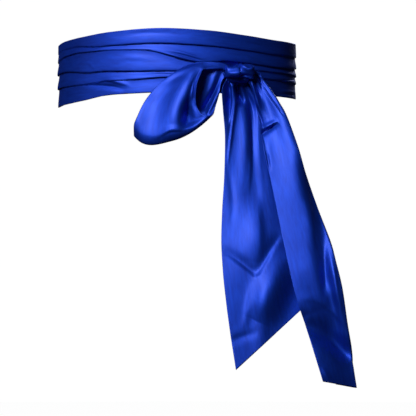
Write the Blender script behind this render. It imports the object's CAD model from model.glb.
"""A royal blue satin sash as it is worn: a pleated band tied in a half bow.

Each stretch of the strip is a thin shell on the form of its CAD solid, with finer pleats, folds and creases.
Lengths are millimetres in the row's frame. A crease is placed by hand in pixels of the 416 x 416 photo, which
is seen along +Y, and lies on the cloth that is seen there.
"""

import math

import bpy
import numpy as np
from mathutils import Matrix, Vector


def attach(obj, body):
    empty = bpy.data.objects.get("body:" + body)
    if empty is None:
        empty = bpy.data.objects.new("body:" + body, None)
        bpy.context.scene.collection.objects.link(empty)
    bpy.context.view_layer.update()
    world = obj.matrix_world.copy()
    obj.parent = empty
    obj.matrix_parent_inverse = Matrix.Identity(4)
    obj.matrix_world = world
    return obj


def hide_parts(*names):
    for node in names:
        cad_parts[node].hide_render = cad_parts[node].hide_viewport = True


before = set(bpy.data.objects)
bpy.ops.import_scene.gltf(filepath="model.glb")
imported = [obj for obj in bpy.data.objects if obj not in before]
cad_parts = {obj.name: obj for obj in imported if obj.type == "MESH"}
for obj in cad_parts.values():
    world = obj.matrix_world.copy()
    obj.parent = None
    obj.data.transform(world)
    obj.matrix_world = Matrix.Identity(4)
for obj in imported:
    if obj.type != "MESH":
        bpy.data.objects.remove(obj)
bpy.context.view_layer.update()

MM = 0.001

# The photo's camera, level and looking along +Y.
IMAGE = 416
CAMERA_X, CAMERA_Z, CAMERA_BACK = 35.65, -166.0, 4000.0
PIXEL_AT_ORIGIN = 1.15

# The general figure that the cloth lies on: an oval waist that spreads into a skirt.
WAIST_HALF_WIDTH, WAIST_HALF_DEPTH = 134.0, 98.0
SKIRT_STARTS_AT, SKIRT_EASE = -37.0, 30.0
SKIRT_SPREAD_SIDE, SKIRT_SPREAD_FRONT = 0.85, 0.22

# The thickness of each shell.
SHELL = 0.8

# A crease's path is drawn with this many straight pieces between two of its points.
PATH_STEPS = 5


# Curves and folds.


def table(names, rows):
    """A table as one array for each named column."""
    return {name: np.array([row[i] for row in rows], float) for i, name in enumerate(names.split())}


def curve(at, value, period=None):
    """A smooth curve through points, with no overshoot between them. A period closes it on itself."""
    at, value = np.asarray(at, float), np.asarray(value, float)
    if period:
        at = np.concatenate([[at[-1] - period], at, at[:2] + period])
        value = np.concatenate([[value[-1]], value, value[:2]])
    step, rise = np.diff(at), np.diff(value)
    slope = rise / step
    tangent = np.zeros_like(value)
    tangent[0], tangent[-1] = slope[0], slope[-1]
    a, b = slope[:-1], slope[1:]
    same = a * b > 0
    tangent[1:-1][same] = 2 * a[same] * b[same] / (a[same] + b[same])

    def at_x(x):
        x = np.asarray(x, float)
        if period:
            x = at[0] + np.mod(x - at[0], period)
        i = np.clip(np.searchsorted(at, x, side="right") - 1, 0, len(step) - 1)
        t = np.clip((x - at[i]) / step[i], 0, 1)
        bend = (tangent[i] * step[i] - rise[i]) * (1 - t) + (rise[i] - tangent[i + 1] * step[i]) * t
        return value[i] + rise[i] * t + bend * t * (1 - t)

    return at_x


def smooth(x, low, high):
    t = np.clip((x - low) / (high - low), 0, 1)
    return t * t * (3 - 2 * t)


def girth(z):
    below = np.maximum(0, SKIRT_STARTS_AT - z)
    spread = below * below / (below + SKIRT_EASE)
    return WAIST_HALF_WIDTH + SKIRT_SPREAD_SIDE * spread, WAIST_HALF_DEPTH + SKIRT_SPREAD_FRONT * spread


def on_figure(x, z, lift):
    """Points at x and z that stand off the front of the figure by lift."""
    half_width, half_depth = girth(z)
    y = -(half_depth + lift) * np.sqrt(np.maximum(0, 1 - (x / (half_width + lift)) ** 2))
    return np.stack([x, y, z], -1)


def round_waist(degrees, z, lift):
    """Points round the waist at an angle from the front, positive to the right."""
    turn = np.radians(degrees)
    x = (WAIST_HALF_WIDTH + lift) * np.sin(turn)
    y = -(WAIST_HALF_DEPTH + lift) * np.cos(turn)
    return np.stack([x, y, np.broadcast_to(z, x.shape)], -1)


def rounded(path):
    """A path through its points, rounded at them."""
    points = np.array(path, float)
    points = np.vstack([2 * points[0] - points[1], points, 2 * points[-1] - points[-2]])
    t = np.arange(PATH_STEPS)[:, None] / PATH_STEPS
    parts = []
    for a, b, c, d in zip(points[:-3], points[1:-2], points[2:-1], points[3:]):
        bend = 2 * a - 5 * b + 4 * c - d
        twist = 3 * b - a - 3 * c + d
        parts.append(0.5 * (2 * b + (c - a) * t + bend * t**2 + twist * t**3))
    return np.vstack([*parts, points[-2:-1]])


def creases(points, named_creases, mirror=False):
    """How far soft ridges and troughs stand out at points of the cloth.

    A crease is (path, before, after): a path of (pixel across, pixel down, height in mm), and its width in mm
    before the path, on the left or lower side of it, and after it, on the right or upper side.
    """
    nearness = CAMERA_BACK / (CAMERA_BACK + points[..., 1])
    across = (points[..., 0] * (-1 if mirror else 1) - CAMERA_X) * nearness
    up = (points[..., 2] - CAMERA_Z) * nearness
    total = np.zeros_like(across)
    for path, before, after in named_creases.values():
        line = rounded(path)
        line_across = (line[:, 0] - IMAGE / 2) * PIXEL_AT_ORIGIN
        line_up = (IMAGE / 2 - line[:, 1]) * PIXEL_AT_ORIGIN
        nearest = np.full_like(across, np.inf)
        side = np.zeros_like(across)
        height = np.zeros_like(across)
        for i in range(len(line) - 1):
            x0, z0, h0 = line_across[i], line_up[i], line[i, 2]
            dx, dz, dh = line_across[i + 1] - x0, line_up[i + 1] - z0, line[i + 1, 2] - h0
            along = np.clip(((across - x0) * dx + (up - z0) * dz) / (dx * dx + dz * dz), 0, 1)
            away = np.hypot(across - x0 - along * dx, up - z0 - along * dz)
            closer = away < nearest
            nearest = np.where(closer, away, nearest)
            side = np.where(closer, dx * (up - z0) - dz * (across - x0), side)
            height = np.where(closer, h0 + dh * along, height)
        wide = np.where(side >= 0, after, before)
        total += height * np.exp(-((nearest / wide) ** 2))
    return total


# Meshes.


def spacing(grid, axis):
    """Where each line of a grid lies, in metres from its first line."""
    steps = np.linalg.norm(np.diff(grid, axis=axis), axis=-1).mean(1 - axis)
    return np.concatenate([[0], np.cumsum(steps)]) * MM


def sheet_object(name, grid, ring=False):
    """A shell from points in mm: grid[across][along], or grid[along][across] for a ring.

    Its UVs are in metres, across the strip and along it.
    """
    columns, rows = grid.shape[:2]
    index = np.arange(columns * rows).reshape(columns, rows)
    closed = grid
    if ring:
        index = np.vstack([index, index[:1]])
        closed = np.concatenate([grid, grid[:1]])
    faces = np.stack([index[:-1, :-1], index[1:, :-1], index[1:, 1:], index[:-1, 1:]], -1).reshape(-1, 4)
    mesh = bpy.data.meshes.new(name)
    mesh.from_pydata((grid.reshape(-1, 3) * MM).tolist(), [], faces.tolist())
    mesh.shade_smooth()
    first, second = np.divmod(np.arange(len(faces)), rows - 1)
    first = spacing(closed, 0)[np.repeat(first, 4) + np.tile([0, 1, 1, 0], len(faces))]
    second = spacing(closed, 1)[np.repeat(second, 4) + np.tile([0, 0, 1, 1], len(faces))]
    uv = np.stack([second, first] if ring else [first, second], -1)
    mesh.uv_layers.new(name="UVMap").data.foreach_set("uv", uv.ravel())
    obj = bpy.data.objects.new(name, mesh)
    bpy.context.collection.objects.link(obj)
    solidify = obj.modifiers.new("shell", "SOLIDIFY")
    solidify.thickness = SHELL * MM
    solidify.offset = 0
    solidify.use_even_offset = False
    return obj


# The band.

BAND_EDGES = table("angle top bottom", [
    (-90, 19.5, -51.2), (-68, 24, -49), (-51, 28, -45.3), (-32, 33, -39), (-7, 36.5, -37), (15, 34, -36.8),
    (35, 29, -37.6), (56, 24.5, -40.2), (83, 22.6, -41.8), (120, 26, -37), (150, 34, -32.5), (180, 38, -30),
    (210, 35, -33), (240, 26.5, -42.5),
])  # fmt: skip

# Height is a share of the band's height at that angle, and depth how far the cloth steps in.
PLEATS = [
    table("angle height depth", rows)
    for rows in (
        [(-80, 0.87, 0.4), (-57, 0.86, 0.5), (-42, 0.8, 1.4), (-30, 0.782, 2.4), (-14, 0.772, 2.5),
         (23, 0.753, 2.2), (41, 0.745, 1.7), (60, 0.735, 0.9), (95, 0.75, 1.4), (150, 0.79, 2.3),
         (205, 0.77, 1.8), (245, 0.83, 0.8)],
        [(-80, 0.74, 1), (-57, 0.77, 2), (-43, 0.735, 1.8), (-30, 0.7, 0.8), (-14, 0.66, 1.4),
         (-5, 0.6, 2.4), (4, 0.52, 3), (12, 0.49, 2.6), (26, 0.535, 2.2), (55, 0.53, 2.2),
         (90, 0.55, 1.7), (150, 0.61, 1.7), (180, 0.585, 2.2), (240, 0.66, 1.2)],
        [(-80, 0.535, 2.2), (-68, 0.525, 2.4), (-43, 0.417, 2.6), (-14, 0.349, 2.5), (5, 0.345, 2),
         (30, 0.41, 1.2), (60, 0.43, 1.3), (90, 0.4, 1.6), (120, 0.38, 2.1), (180, 0.415, 2),
         (215, 0.44, 2.4), (250, 0.5, 2.2)],
        [(-80, 0.3, 1.9), (-60, 0.28, 1.6), (-43, 0.23, 0.6), (-21, 0.225, 2), (-5, 0.25, 2.5),
         (20, 0.265, 1.2), (55, 0.297, 1.4), (90, 0.27, 1.2), (130, 0.21, 1.2), (180, 0.235, 1.9),
         (230, 0.28, 1.6)],
    )
]  # fmt: skip

# Columns of the band's grid, crowded towards the front, and the steps down each panel and round each fold.
BAND_COLUMNS, BAND_CROWDING = 420, 0.4
PANEL_STEPS, FOLD_STEPS = 17, 8

# How far the band lies off the figure, how far its two hems stand out of that, and the share of a panel's
# height at which it has swelled out in full.
BAND_LIFT = 2.0
TOP_HEM_OUT, BOTTOM_HEM_OUT = 0.15, 0.25
PANEL_IS_FULL_AT = 0.95

# How far, in degrees, the cloth turns in under a pleat's edge: the least, and more for a deeper pleat.
LEAST_TURN, MORE_TURN = 40, 100
SHALLOW_PLEAT, DEEP_PLEAT = 0.3, 2.4

# How far in front of the waist's middle, or behind it, the band's creases start and are full.
CREASE_FADE = (5, 30)

BAND_CREASES = {
    "upper twin ridge": ([(170, 50, 0), (184, 53.2, 0.8), (196, 57, 0.8), (207, 60, 0)], 0.9, 1.0),
    "line between the twins": (
        [(164, 51.5, 0), (180, 54.6, -0.8), (194, 58.4, -0.9), (204, 61, 0)],
        0.9,
        0.9,
    ),
    "lower twin ridge": ([(160, 52.5, 0), (178, 56.2, 0.7), (192, 60, 0.7), (202, 62.4, 0)], 0.9, 0.9),
    "left swell": ([(101, 80, 0), (110, 80.5, 1.1), (120, 83, 1.2), (131, 86.5, 0)], 1.5, 3.2),
    "trough under it": ([(82, 84.5, 0), (98, 85.5, -1.3), (112, 86.5, -1.4), (127, 89.5, 0)], 3.0, 1.8),
    "upper hairline": ([(146, 72.6, 0), (160, 72.9, -0.45), (173, 73.2, -0.3)], 0.9, 0.9),
    "lower hairline": ([(148, 75.1, 0), (161, 75.1, -0.4), (173, 75, -0.3)], 0.9, 0.9),
    "top left ridge": ([(88, 49, 0), (98, 48.4, 0.45), (112, 46.6, 0.3), (120, 45.5, 0)], 0.9, 0.9),
    "left curl": ([(87, 61, 0), (92, 66, 0.3), (97, 70, 0)], 1.2, 1.2),
    "right hem line": ([(274, 94, 0), (286, 94.3, -0.6), (297, 95.8, -0.5)], 0.9, 0.9),
    "right hem ridge": ([(278, 91.2, 0), (290, 91.6, 0.5), (297, 92.6, 0.4)], 0.9, 0.9),
    "right low line": ([(266, 79.5, 0), (280, 80, -0.5), (295, 80, -0.4)], 1.0, 1.0),
    "top hollow left": ([(112, 37, 0), (150, 33, -0.4), (192, 35, 0)], 2.0, 3.0),
    "top hollow right": ([(222, 40, 0), (250, 44, -0.5), (288, 50, 0)], 2.0, 2.6),
    "left end dip": ([(60, 56, 0), (66, 60, -0.6), (70, 66, 0)], 2.5, 3.0),
    "middle swell": ([(110, 60, 0), (135, 57.5, 0.4), (160, 60, 0)], 3.0, 3.0),
}

# The band is pressed in where the knot lies on it.
KNOT_HOLLOW = {
    "hollow behind the knot": ([(226, 67, -4), (233, 68, -6), (240, 69, -5), (248, 69, -3)], 3.0, 5.0),
}


def add_panel(heights, outs, z0, out0, z1, out1):
    """A stretch of cloth between two folds, which swells out to its lower edge."""
    for t in (np.arange(PANEL_STEPS) + 0.5) / PANEL_STEPS:
        heights.append(z0 + (z1 - z0) * t)
        outs.append(out0 + (out1 - out0) * smooth(t, 0, PANEL_IS_FULL_AT))


def round_band(rows, name, angle):
    """A named column of a table, at each angle round the waist."""
    return curve(rows["angle"], rows[name], 360)(angle)


def band_grid():
    turn = np.arange(BAND_COLUMNS) * 2 * math.pi / BAND_COLUMNS
    angle = np.degrees(turn - BAND_CROWDING * np.sin(turn))
    top = round_band(BAND_EDGES, "top", angle)
    bottom = round_band(BAND_EDGES, "bottom", angle)
    heights, outs = [], []
    start_z, start_out = top, np.full_like(top, TOP_HEM_OUT)
    for pleat in PLEATS:
        depth = round_band(pleat, "depth", angle)
        edge_z = bottom + (top - bottom) * round_band(pleat, "height", angle)
        # The cloth turns in under the fold's edge, comes back up a little behind it and goes on down.
        bend = np.radians(LEAST_TURN + MORE_TURN * smooth(depth, SHALLOW_PLEAT, DEEP_PLEAT))
        heading = bend * np.sin(math.pi * (np.arange(FOLD_STEPS)[:, None] + 0.5) / FOLD_STEPS) ** 2
        pace = depth / np.sin(heading).sum(0)
        fold_out = depth / 2 - np.cumsum(np.sin(heading), 0) * pace
        fold_z = -np.cumsum(np.cos(heading), 0) * pace
        fold_z += edge_z - np.minimum(0, fold_z.min(0)) / 2
        add_panel(heights, outs, start_z, start_out, edge_z, depth / 2)
        heights += list(fold_z)
        outs += list(fold_out)
        start_z, start_out = fold_z[-1], fold_out[-1]
    add_panel(heights, outs, start_z, start_out, bottom, np.full_like(bottom, BOTTOM_HEM_OUT))
    z, out = np.array(heights).T, np.array(outs).T
    flat = round_waist(angle[:, None], z, BAND_LIFT + out)
    front = creases(flat, {**BAND_CREASES, **KNOT_HOLLOW}) * smooth(-flat[..., 1], *CREASE_FADE)
    behind = creases(flat, BAND_CREASES, mirror=True) * smooth(flat[..., 1], *CREASE_FADE)
    return round_waist(angle[:, None], z, BAND_LIFT + out + front + behind)


# The strips.

SECTIONS = "left_x left_z left_lift right_x right_z right_lift sag"

LOOP_SECTIONS = table(SECTIONS, [
    (56, -5, 18, 57, -13, 19, 0), (43, -3, 18, 46, -8, 19, 0), (27, -3, 17, 32, -10, 22, 0),
    (14, -6, 16, 26.5, -19, 28, 0), (2, -12, 15, 23, -30, 33, 0), (-11, -21, 15, 22, -41, 36, 1),
    (-25, -34, 17, 22.5, -50.5, 37, 3), (-35, -47, 20, 25.5, -57.5, 36, 5),
    (-42, -61, 22, 30, -62.5, 35, 9), (-47, -75, 23, 36, -63.5, 33, 14),
    (-46.8, -85.5, 17, 41, -62, 26, 17), (-43.5, -79, 9, 42, -60, 17, 14), (-37, -64, 6, 44, -53, 13, 10),
    (-27, -48, 5.5, 46, -46, 12, 6), (-15, -34, 5.5, 48.5, -37, 12, 3), (2, -21, 5.7, 50, -28, 12, 1),
    (23, -12, 7, 51.5, -23.5, 12, 0), (43, -10, 9.5, 53.5, -20.5, 12, 0), (57, -11, 12, 57, -19, 12, 0),
])  # fmt: skip

STRAIGHT_TAIL_SECTIONS = table(SECTIONS, [
    (57, -20, 15, 77, -19, 10, 0), (51, -36, 13, 88, -34, 8, 0), (52.5, -56, 10, 99, -52, 8.5, 0),
    (54.7, -90, 8, 107, -81, 11, 0), (53.8, -129, 6.5, 115, -118, 13, 0),
    (51.4, -168, 5.5, 123, -153, 14.5, 0), (50.4, -202, 5, 131, -184, 15, 0),
    (52, -235, 5, 137, -213, 13, 0), (55.5, -269, 4.5, 142, -236, 8, 0), (60, -303, 4, 146, -257, 3, 0),
    (66.5, -345, 4, 149, -270.5, 1, 0),
])  # fmt: skip

SIDE_TAIL_SECTIONS = table(SECTIONS + " turned", [
    (75, -18, 15, 77, -8, 14, 0, 2), (84, -30, 15, 88.5, -12, 12.5, 0, 2),
    (87, -40, 15.5, 97, -23, 13.5, 0, 3), (90.5, -56, 17.5, 106.5, -37, 18, 0, 5),
    (94.5, -77, 20.5, 120.5, -58, 25, 0, 9), (98.5, -103, 21.5, 131.8, -88, 31, 0, 14),
    (104.5, -130, 21.5, 141, -117, 36, 0, 18), (111, -161, 22, 151.2, -148, 38, 0, 21),
    (117.5, -195, 22, 162.5, -181, 39, 0, 23), (125.5, -233, 21.5, 173.4, -215, 38.5, 0, 24),
    (133.5, -266, 20, 183, -253, 35, 0, 24), (145.3, -301, 12, 190, -301, 16, 0, 24),
    (153.5, -328, 9, 194.5, -333, 6, 0, 24), (162.5, -357.5, 8, 199.5, -365, 1, 0, 24),
])  # fmt: skip

# A strip's broad folds: stations along it, where the fold lies across it at each, height and half width.
FOLDS = "start peak end at_start at_peak at_end high wide"

LOOP_FOLDS = table(FOLDS, [
    (0.12, 0.4, 0.6, 0.5, 0.54, 0.5, 4, 0.2), (0.12, 0.37, 0.53, 0.8, 0.8, 0.76, -2, 0.06),
    (0.2, 0.38, 0.52, 0.9, 0.9, 0.86, 3, 0.08), (0.56, 0.72, 0.95, 0.8, 0.84, 0.7, -2, 0.12),
])  # fmt: skip

STRAIGHT_TAIL_FOLDS = table(FOLDS, [
    (0, 0.12, 0.34, 0.42, 0.3, 0.02, 4, 0.1), (0, 0.1, 0.2, 0.52, 0.5, 0.5, -6, 0.09),
    (0.08, 0.24, 0.66, 0.62, 0.48, 0.2, 1.5, 0.16), (0.02, 0.16, 0.5, 0.76, 0.72, 0.4, -3, 0.1),
    (0, 0.16, 0.8, 0.86, 0.86, 0.62, 3, 0.12), (0.45, 0.66, 0.85, 0.4, 0.42, 0.36, 3, 0.28),
    (0.6, 0.84, 1.1, 0.85, 0.78, 0.6, -3, 0.18), (0.66, 0.86, 1.1, 0.5, 0.42, 0.32, 3, 0.12),
])  # fmt: skip

SIDE_TAIL_FOLDS = table(FOLDS, [
    (0, 0.13, 0.32, 0.16, 0.2, 0.12, 2.6, 0.14), (0.04, 0.13, 0.24, 0.46, 0.44, 0.36, -3.4, 0.13),
    (0.08, 0.28, 0.6, 1, 1, 1, 12, 0.45), (0.2, 0.4, 0.66, 1, 0.9, 0.8, 1.5, 0.6),
    (0.2, 0.28, 0.38, 0.06, 0.12, 0.16, -3.5, 0.18), (0.4, 0.56, 0.76, 1.08, 1.04, 0.9, -13, 0.2),
    (0.58, 0.75, 0.9, 0.84, 0.73, 0.8, -5, 0.16), (0.62, 0.76, 0.9, 0.92, 0.9, 0.95, 2.4, 0.1),
    (0.7, 0.85, 1, 0.3, 0.6, 0.95, -5, 0.24),
])  # fmt: skip

LOOP_FRONT_CREASES = {
    "deep valley": (
        [
            (201, 68, -1), (197, 84, -5), (194.5, 96, -9), (190.5, 106, -13), (187.5, 117, -13),
            (186, 128, -4),
        ],
        6.2,
        15.0,
    ),
    "sharp tip": ([(189, 100, 0), (187.5, 112, -1.5), (186.5, 122, -2), (186.5, 129, 0)], 2.5, 1.0),
    "lip": ([(204, 67, 0), (198, 80, 1.2), (195.5, 94, 1.5), (197, 106, 0)], 2.2, 2.0),
    "dip beside the lip": ([(201, 69, 0), (196, 80, -0.9), (193.8, 92, -1.1), (195.5, 102, 0)], 1.2, 1.2),
    "low ridge": (
        [(150, 141, 0), (158, 137.5, 1.2), (170, 130.5, 1.7), (186, 129.5, 1.2), (198, 122, 0)],
        1.6,
        4.0,
    ),
    "left edge": ([(152, 88, 1), (142, 105, 3), (136, 120, 3.5), (135, 134, 2)], 8.0, 12.0),
    "top right hollow": ([(164, 86, 0), (176, 78, -1.2), (190, 74, 0)], 4.0, 4.0),
    "rolled top edge": (
        [(160, 80, 0), (172, 70, -3), (186, 65, -3.5), (200, 62, -1.5), (214, 59, 0)],
        3.0,
        4.5,
    ),
}

LOOP_BACK_CREASES = {
    "dark diagonal": ([(221, 72, -1), (217, 84, -3), (211, 97, -5), (205, 108, -3)], 3.0, 3.0),
    "inner ridge": ([(219, 66, 0.6), (214, 79, 1.6), (211, 89, 1.2), (208, 98, 0)], 3.0, 4.5),
    "right strip": ([(219, 90, 0), (216, 97, 2), (211, 107, 2.5), (208, 113, 2)], 1.8, 2.4),
}

STRAIGHT_TAIL_CREASES = {
    "hooked ridge": (
        [
            (229, 83, 0.8), (233, 87, 1.6), (235.2, 96, 2), (234.8, 108, 1.6), (232.5, 125, 1.6),
            (230, 145, 1), (228, 165, 0),
        ],
        1.6,
        1.6,
    ),
    "raised left edge": (
        [(222, 82, 4), (223, 95, 4.5), (223.5, 110, 3.5), (224, 130, 1), (224, 145, 0)],
        4.0,
        5.0,
    ),
    "black hollow": (
        [(229, 84, -3), (230.5, 92, -5), (230.5, 102, -5), (229.5, 112, -3), (228, 125, 0)],
        7.0,
        1.5,
    ),
    "small hollow": ([(236, 88, -3), (238.5, 95, -5), (241, 101, -4), (243, 107, 0)], 3.0, 3.4),
    "right ridge": (
        [
            (250, 84, 0.8), (253.5, 95, 1.4), (256, 110, 1.6), (257, 130, 1.5), (259, 155, 1.2),
            (261, 185, 0.6), (264, 215, 0),
        ],
        5.0,
        4.0,
    ),
    "valley": (
        [(247, 103, -0.6), (249, 112, -1.6), (250.5, 125, -1.6), (251.5, 145, -0.8), (251, 165, 0)],
        2.6,
        2.2,
    ),
    "middle swell": (
        [(246, 100, 0), (248, 115, 2.6), (249.5, 140, 2.6), (249.5, 165, 1.6), (248, 195, 0)],
        12.0,
        2.4,
    ),
    "left trough": ([(228, 165, 0), (231, 185, -0.6), (233, 205, -0.5), (231, 230, 0)], 3.5, 4.0),
    "bright swell": ([(256, 195, 0), (258, 220, 2.5), (259, 240, 2.5), (257, 262, 0)], 14.0, 6.0),
    "V, left arm": (
        [(223, 251, -0.5), (233, 256.5, -1.4), (243, 264, -2.1), (254, 273, -1.8), (258, 277, 0)],
        3.4,
        6.5,
    ),
    "V, right arm": (
        [(256, 275, 0), (260, 268, -1.6), (268, 254, -2.1), (275, 242, -1.4), (281, 232, 0)],
        3.4,
        6.5,
    ),
    "crest beside the wedge": (
        [(289, 248, 0), (284, 264, 6), (275, 284, 11), (268, 302, 9), (258, 322, 0)],
        16.0,
        18.0,
    ),
    "low ridge": ([(254, 282, 0), (250, 300, 1), (246, 318, 0.8), (243, 330, 0)], 4.0, 5.0),
    "end trough": ([(229, 342, -0.8), (240, 338, -1.5), (252, 334, -0.7), (262, 330, 0)], 5.0, 5.0),
}

SIDE_TAIL_CREASES = {
    "outer strip": (
        [(250, 70, 0.8), (256, 73.5, 1.2), (263, 80, 1), (270, 90, 0.8), (286, 115, 0)],
        1.0,
        1.2,
    ),
    "slit at the knot": ([(252, 71.5, -0.5), (256, 75, -1.5), (259, 79, -2.2), (262.5, 90, 0)], 1.3, 1.2),
    "line beside the edge": ([(263, 86, -0.4), (270, 97, -0.8), (278, 108, -0.8), (285, 117, 0)], 1.0, 1.0),
    "left ridge": (
        [(251, 74, 2), (252, 82, 5), (254, 92, 6), (259, 106, 4.5), (264, 120, 2), (268, 135, 0)],
        2.5,
        8.0,
    ),
    "pinch ridge": ([(261, 129, 1), (267, 126.8, 2.2), (273, 124, 1.8), (279, 121, 0)], 1.2, 3.5),
    "pinch hollow": ([(262, 133, -2.5), (268, 129.5, -3.2), (273, 126, -2.5), (279, 122.8, 0)], 3.5, 1.2),
    "under the pinch": ([(262, 135, -2), (265, 145, -1), (267, 160, 0)], 2.5, 3.0),
    "edge wave": ([(266, 150, 0), (268, 160, -1.6), (270, 172, 0)], 2.0, 2.0),
    "facet's edge": (
        [(299, 152, 0.5), (304, 175, 1.2), (309, 200, 1.2), (312, 225, 0.8), (314, 250, 0)],
        6.0,
        2.0,
    ),
    "low valley": ([(323, 235, 0), (325, 255, -1.5), (325, 280, -1.5), (323, 300, 0)], 4.0, 3.6),
    "low ridge": (
        [(330, 252, 0), (333, 270, 1.4), (336, 290, 1.8), (339, 305, 1.4), (341, 318, 0)],
        3.4,
        3.0,
    ),
    "bend, upper side": (
        [(299, 301, 0), (312, 299, 0.5), (325, 305, 1), (338, 317, 1), (349, 330, 0)],
        3.0,
        6.0,
    ),
    "bend, lower side": (
        [(304, 325, -5), (316, 331, -9), (330, 341, -11), (344, 353, -10), (352, 360, -6)],
        9.0,
        12.0,
    ),
    "raised end": ([(303, 316, 0), (309, 335, 5), (314, 352, 9), (320, 374, 10)], 10.0, 30.0),
    "end ridge": ([(321, 366, 0), (325, 372, 1), (330, 380, 0)], 2.5, 2.5),
}

# Where along the loop its front turns into its back, and how far on each side their creases mix.
LOOP_TURNS_BACK_AT, LOOP_MIX = 0.5, 0.04

# The side tail's turned edge: its roll, then the cloth behind it.
TURN_RADIUS = 1.7
ROLL_STEPS, FLAT_STEPS = 12, 16

# How far off across and along, as a share of the strip, the cloth's slope is taken.
SLOPE_ACROSS, SLOPE_ALONG = 0.02, 0.01

LOOP_GRID, STRAIGHT_TAIL_GRID, SIDE_TAIL_GRID = (110, 310), (120, 290), (90, 300)


def fold_height(folds, u, v):
    height = np.zeros(np.broadcast(u, v).shape)
    for start, peak, end, at_start, at_peak, at_end, high, wide in zip(*folds.values()):
        rising = v < peak
        share = np.where(rising, (v - start) / (peak - start), (end - v) / (end - peak))
        strength = smooth(share, 0, 1)
        far = np.where(rising, at_start, at_end)
        middle = far + (at_peak - far) * strength
        height += high * strength * np.exp(-(((u - middle) / wide) ** 2))
    return height


def strip_columns(sections):
    """Each column of a strip's sections as a smooth function of v along the strip."""
    places = np.linspace(0, 1, len(sections["sag"]))
    return {name: curve(places, value) for name, value in sections.items()}


def strip_surface(sections, folds, front_creases, back_creases=None):
    """The strip's surface as a function of u across it and v along it, both from 0 to 1."""
    column = strip_columns(sections)

    def surface(u, v):
        u, v = np.broadcast_arrays(u, v)
        x = column["left_x"](v) * (1 - u) + column["right_x"](v) * u
        hang = np.where(u < 0.5, 1 - (2 * u - 1) ** 4, 4 * u * (1 - u))
        z = column["left_z"](v) * (1 - u) + column["right_z"](v) * u - column["sag"](v) * hang
        lift = column["left_lift"](v) * (1 - u) + column["right_lift"](v) * u + fold_height(folds, u, v)
        plain = on_figure(x, z, lift)
        relief = creases(plain, front_creases)
        if back_creases:
            behind = smooth(v, LOOP_TURNS_BACK_AT - LOOP_MIX, LOOP_TURNS_BACK_AT + LOOP_MIX)
            relief = relief * (1 - behind) + creases(plain, back_creases) * behind
        return on_figure(x, z, lift + relief)

    return surface


def strip_grid(surface, across, along):
    u = np.linspace(0, 1, across + 1)[:, None]
    v = np.linspace(0, 1, along + 1)[None, :]
    return surface(u, v)


def turned_edge(surface, turned, along):
    """The right edge turned under: round its roll, then flat behind the strip."""
    v = np.linspace(0, 1, along + 1)[None, :]
    wide = np.linalg.norm(surface(1.0, v) - surface(0.0, v), axis=-1)
    steps = np.arange(1, ROLL_STEPS + FLAT_STEPS + 1)[:, None]
    roll = np.pi * np.minimum(1, steps / ROLL_STEPS)
    u = 1 - np.maximum(0, steps - ROLL_STEPS) / FLAT_STEPS * turned(v) / wide
    across = surface(u, v) - surface(u - SLOPE_ACROSS, v)
    across /= np.linalg.norm(across, axis=-1, keepdims=True)
    down = surface(u, np.minimum(1, v + SLOPE_ALONG)) - surface(u, np.maximum(0, v - SLOPE_ALONG))
    out = np.cross(down, across)
    out /= np.linalg.norm(out, axis=-1, keepdims=True)
    point = surface(u, v) + across * (TURN_RADIUS * np.sin(roll))[..., None]
    return point - out * (TURN_RADIUS * (1 - np.cos(roll)))[..., None]


# The knot.

KNOT_ANGLE, KNOT_HEIGHT, KNOT_LIFT = 27.9, -13.6, 14.6
KNOT_HALF_LENGTH, KNOT_HALF_HEIGHT, KNOT_HALF_DEPTH, KNOT_END_POWER = 16.5, 12.4, 10.0, 3.4
KNOT_GRID = (160, 110)

# The knot's shell stops this share of the way short of its two ends, which leaves them a little open.
KNOT_END_GAP = 0.01

KNOT_CREASES = {
    "left lump": ([(224, 73, 1), (231, 73, 2.4), (239, 72.5, 1.6)], 3.0, 2.0),
    "lump's raised end": ([(237.5, 65, 2), (238, 69, 3), (238, 74, 3), (238, 77, 1)], 6.0, 1.4),
    "raised right end": ([(250, 61, 3), (252, 67, 5), (252.5, 73, 5), (251, 80, 3)], 9.0, 5.0),
    "left peak": ([(226, 63, 1.5), (226.5, 67, 2.2), (227.5, 71, 0.6)], 1.1, 1.2),
    "V hollow": ([(228.5, 61, -6), (233.5, 62.5, -7.5), (238.3, 63, -5)], 5.0, 6.0),
    "slit": ([(239.6, 62, -2), (239.6, 67, -3), (239.8, 72, -1.5)], 1.0, 1.0),
    "right ridge": ([(240.5, 62, 2), (242.5, 67, 3), (247, 70, 2.6), (252, 69, 1.6)], 1.8, 1.6),
    "hollow over the right ridge": ([(244.5, 61.5, -4), (248, 63, -5.5), (253, 63, -5)], 4.0, 6.0),
    "hollow under the right ridge": ([(240, 76, -2), (245, 75.5, -3.5), (250, 75.5, -1.5)], 2.0, 2.0),
    "low hem": ([(241, 81.5, 0.6), (246, 80.5, 1), (250.5, 77.5, 1.4)], 1.0, 1.0),
    "hollow under the lumps": (
        [(223, 79.5, -3), (232, 79.5, -4.5), (245, 79.5, -5), (251, 80, -6)],
        3.5,
        2.4,
    ),
}


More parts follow.
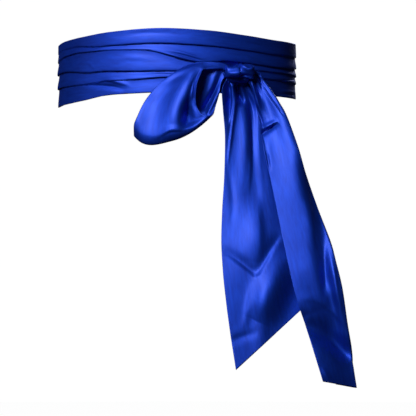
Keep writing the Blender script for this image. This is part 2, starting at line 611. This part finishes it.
def knot_grid():
    centre = round_waist(np.array(KNOT_ANGLE), KNOT_HEIGHT, KNOT_LIFT)
    length = round_waist(np.array(KNOT_ANGLE + 1), KNOT_HEIGHT, KNOT_LIFT) - centre
    length /= np.linalg.norm(length)
    up = np.array([0.0, 0.0, 1.0])
    out = np.cross(length, up)
    s = -np.cos(np.pi * np.linspace(KNOT_END_GAP, 1 - KNOT_END_GAP, KNOT_GRID[1]))[None, :]
    turn = np.arange(KNOT_GRID[0])[:, None] * 2 * np.pi / KNOT_GRID[0]
    full = (1 - np.abs(s) ** KNOT_END_POWER) ** (1 / KNOT_END_POWER)
    stretch = s * KNOT_HALF_LENGTH * np.ones_like(turn)

    def wrap(relief):
        high = (KNOT_HALF_HEIGHT + relief) * full * np.cos(turn)
        deep = (KNOT_HALF_DEPTH + relief) * full * np.sin(turn)
        return centre + stretch[..., None] * length + deep[..., None] * out + high[..., None] * up

    return wrap(creases(wrap(0), KNOT_CREASES))


# Material.


def set_inputs(node, values):
    for name, value in values.items():
        node.inputs[name].default_value = value


def satin_material():
    """Royal blue satin: smooth threads that gloss softly, a fine weave and faint uneven streaks."""
    material = bpy.data.materials.new("satin")
    material.use_nodes = True
    nodes, links = material.node_tree.nodes, material.node_tree.links
    shader = nodes["Principled BSDF"]
    set_inputs(shader, {
        "Metallic": 0.92,
        "Roughness": 0.62,
        "Specular IOR Level": 0.5,
        "Coat Weight": 0.26,
        "Coat Roughness": 0.45,
        "Coat IOR": 1.5,
        "Coat Tint": (0.8, 0.92, 1, 1),
    })
    place = nodes.new("ShaderNodeUVMap")
    place.uv_map = "UVMap"

    def add(kind, values, vector=None):
        node = nodes.new(kind)
        set_inputs(node, values)
        if vector is not None:
            links.new(vector, node.inputs["Vector"])
        return node

    def stretched_noise(stretch, values):
        """Noise with so many steps in a metre across the strip and along it."""
        stretched = add("ShaderNodeMapping", {"Scale": stretch}, place.outputs["UV"])
        return add("ShaderNodeTexNoise", {"Scale": 1.0, **values}, stretched.outputs["Vector"])

    # The blue, a little uneven in streaks along the strip and in clouds.
    streaks = stretched_noise((480, 60, 1), {"Detail": 3.0})
    spot = nodes.new("ShaderNodeTexCoord")
    clouds = add("ShaderNodeTexNoise", {"Scale": 28.0, "Detail": 4.0}, spot.outputs["Object"])
    cloud_part = add("ShaderNodeMath", {1: 0.45})
    cloud_part.operation = "MULTIPLY"
    links.new(clouds.outputs["Fac"], cloud_part.inputs[0])
    mixed = add("ShaderNodeMath", {1: 0.55})
    mixed.operation = "MULTIPLY_ADD"
    links.new(streaks.outputs["Fac"], mixed.inputs[0])
    links.new(cloud_part.outputs[0], mixed.inputs[2])
    blue = nodes.new("ShaderNodeValToRGB")
    dark, light = blue.color_ramp.elements
    dark.position, light.position = 0.3, 0.7
    dark.color = (0.0024, 0.028, 0.34, 1)
    light.color = (0.0058, 0.052, 0.51, 1)
    links.new(mixed.outputs[0], blue.inputs["Fac"])
    links.new(blue.outputs["Color"], shader.inputs["Base Color"])

    # The relief: a fine weave, and ripples along the strip over it.
    weave = add("ShaderNodeTexWave", {"Scale": 900.0, "Distortion": 1.5}, place.outputs["UV"])
    weave.wave_type = "BANDS"
    weave.bands_direction = "DIAGONAL"
    thread = add("ShaderNodeBump", {"Strength": 0.1, "Distance": 0.00005})
    links.new(weave.outputs["Fac"], thread.inputs["Height"])
    ripples = stretched_noise((150, 45, 1), {"Detail": 3.0, "Distortion": 0.4})
    bump = add("ShaderNodeBump", {"Strength": 0.5, "Distance": 0.0006})
    links.new(ripples.outputs["Fac"], bump.inputs["Height"])
    links.new(thread.outputs["Normal"], bump.inputs["Normal"])
    links.new(bump.outputs["Normal"], shader.inputs["Normal"])
    return material


# Pieces.

satin = satin_material()


def dress(name, grid, node, ring=False):
    obj = sheet_object(name, grid, ring)
    obj.data.materials.append(satin)
    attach(obj, "root")
    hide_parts(node)


loop_surface = strip_surface(LOOP_SECTIONS, LOOP_FOLDS, LOOP_FRONT_CREASES, LOOP_BACK_CREASES)
loop = strip_grid(loop_surface, *LOOP_GRID)
straight_surface = strip_surface(STRAIGHT_TAIL_SECTIONS, STRAIGHT_TAIL_FOLDS, STRAIGHT_TAIL_CREASES)
straight = strip_grid(straight_surface, *STRAIGHT_TAIL_GRID)
side_surface = strip_surface(SIDE_TAIL_SECTIONS, SIDE_TAIL_FOLDS, SIDE_TAIL_CREASES)
side_front = strip_grid(side_surface, *SIDE_TAIL_GRID)
side_behind = turned_edge(side_surface, strip_columns(SIDE_TAIL_SECTIONS)["turned"], SIDE_TAIL_GRID[1])
side = np.concatenate([side_front, side_behind])

dress("knot_cloth", knot_grid(), "knot", ring=True)
dress("band_cloth", band_grid(), "waist_band", ring=True)
dress("loop_cloth", loop, "bow_loop")
dress("straight_tail_cloth", straight, "straight_tail")
dress("side_tail_cloth", side, "side_tail")


# Stage, lights and camera, in metres.

# A round floor with a wall round it, which the camera alone sees.
STAGE_SIDES = 128
FLOOR_RADIUS, FLOOR_Z = 12, -1.05
WALL_RADIUS, WALL_HEIGHT, WALL_BELOW_FLOOR = 11.9, 12, 0.01
STAGE_GREY, STAGE_GLOW = 0.6, 0.97


def pale_material():
    material = bpy.data.materials.new("pale")
    material.use_nodes = True
    set_inputs(material.node_tree.nodes["Principled BSDF"], {
        "Base Color": (STAGE_GREY, STAGE_GREY, STAGE_GREY, 1),
        "Roughness": 0.9,
        "Specular IOR Level": 0.1,
        "Emission Color": (1, 1, 1, 1),
        "Emission Strength": STAGE_GLOW,
    })
    return material


def stage():
    bpy.ops.mesh.primitive_circle_add(
        vertices=STAGE_SIDES, radius=FLOOR_RADIUS, fill_type="NGON", location=(0, 0, FLOOR_Z)
    )
    floor = bpy.context.object
    floor.name = "floor"
    wall_z = FLOOR_Z - WALL_BELOW_FLOOR + WALL_HEIGHT / 2
    bpy.ops.mesh.primitive_cylinder_add(
        vertices=STAGE_SIDES,
        radius=WALL_RADIUS,
        depth=WALL_HEIGHT,
        end_fill_type="NOTHING",
        location=(0, 0, wall_z),
    )
    wall = bpy.context.object
    wall.name = "backdrop"
    pale = pale_material()
    for obj in (floor, wall):
        obj.data.materials.append(pale)
        obj.visible_diffuse = False
        obj.visible_glossy = False
        obj.visible_shadow = False


def area_light(name, place, target, size, watts, color=(1, 1, 1)):
    light = bpy.data.lights.new(name, "AREA")
    light.shape = "DISK"
    light.size = size
    light.energy = watts
    light.color = color
    obj = bpy.data.objects.new(name, light)
    bpy.context.collection.objects.link(obj)
    obj.location = place
    obj.rotation_euler = (Vector(target) - Vector(place)).to_track_quat("-Z", "Y").to_euler()


def lights():
    middle = (0.03, -0.08, -0.12)
    area_light("key", (-1.09, -2.6, 1.62), middle, size=1.1, watts=128, color=(0.8, 0.96, 1))
    area_light("fill", (-2.8, -0.9, 0.3), middle, size=1.6, watts=3)
    area_light("back", (0.9, 2.9, 1.4), middle, size=1.6, watts=60)
    world = bpy.data.worlds.new("studio")
    world.use_nodes = True
    set_inputs(world.node_tree.nodes["Background"], {"Color": (0.9, 0.94, 1.0, 1), "Strength": 0.02})
    bpy.context.scene.world = world


def camera():
    data = bpy.data.cameras.new("camera")
    half_view = PIXEL_AT_ORIGIN * IMAGE / 2
    data.sensor_width = 36
    data.lens = data.sensor_width / 2 * CAMERA_BACK / half_view
    obj = bpy.data.objects.new("camera", data)
    bpy.context.collection.objects.link(obj)
    obj.location = (CAMERA_X * MM, -CAMERA_BACK * MM, CAMERA_Z * MM)
    obj.rotation_euler = (math.pi / 2, 0, 0)
    data.clip_end = 100
    bpy.context.scene.camera = obj


stage()
lights()
camera()
bpy.context.scene.view_settings.view_transform = "Standard"
